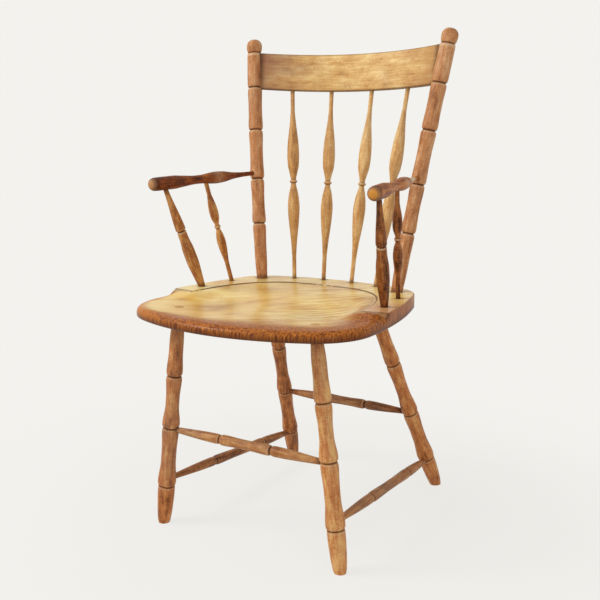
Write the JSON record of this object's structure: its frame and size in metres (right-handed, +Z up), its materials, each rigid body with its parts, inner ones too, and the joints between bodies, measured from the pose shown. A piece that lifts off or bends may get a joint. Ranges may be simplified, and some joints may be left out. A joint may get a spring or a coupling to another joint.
{
  "type": "windsor armchair",
  "caption": "Windsor armchair with bamboo-turned legs, posts and stretchers, bulbous back spindles, a bent crest rail, club-shaped arms and a dished plank seat.",
  "frame": {"origin": "on the floor, under the middle of the chair's bounding box", "axes": "+Z up, +Y towards the back, the sitter looks along -Y; +X is on the right of someone who faces the chair, and X is across the left-right symmetry"},
  "size_m": [0.4758, 0.5622, 0.9179],
  "materials": {
    "seat_wood": "aged honey-gold wood under satin varnish, darker rolled rim",
    "crest_wood": "aged brown wood, satin varnish, worn golden in the middle",
    "post_wood": "aged pinkish brown wood, satin varnish, dark scribed rings",
    "spindle_wood": "aged tan wood, satin varnish",
    "leg_wood": "aged reddish brown wood, satin varnish, dark scribed rings",
    "stretcher_wood": "aged brown wood, satin varnish",
    "arm_wood": "dark brown wood polished by hands",
    "arm_stick_wood": "dark brown wood, satin varnish",
    "peg_wood": "dark end grain under satin varnish"
  },
  "bodies": {
    "root": {"seat": "seat_wood", "crest_rail": "crest_wood", "stretcher_front": "stretcher_wood", "stretcher_rear": "stretcher_wood", "leg_front_left": "leg_wood", "leg_front_right": "leg_wood", "leg_rear_left": "leg_wood", "leg_rear_right": "leg_wood", "leg_wedge_left": "peg_wood", "leg_wedge_right": "peg_wood", "stretcher_left": "stretcher_wood", "stretcher_right": "stretcher_wood", "back_post_left": "post_wood", "back_post_right": "post_wood", "crest_pin_left": "peg_wood", "crest_pin_right": "peg_wood", "back_spindle_inner_left": "spindle_wood", "back_spindle_inner_right": "spindle_wood", "back_spindle_outer_left": "spindle_wood", "back_spindle_outer_right": "spindle_wood", "arm_left": "arm_wood", "arm_right": "arm_wood", "arm_post_left": "arm_stick_wood", "arm_post_right": "arm_stick_wood", "arm_spindle_left": "arm_stick_wood", "arm_spindle_right": "arm_stick_wood"}
  },
  "joints": []
}
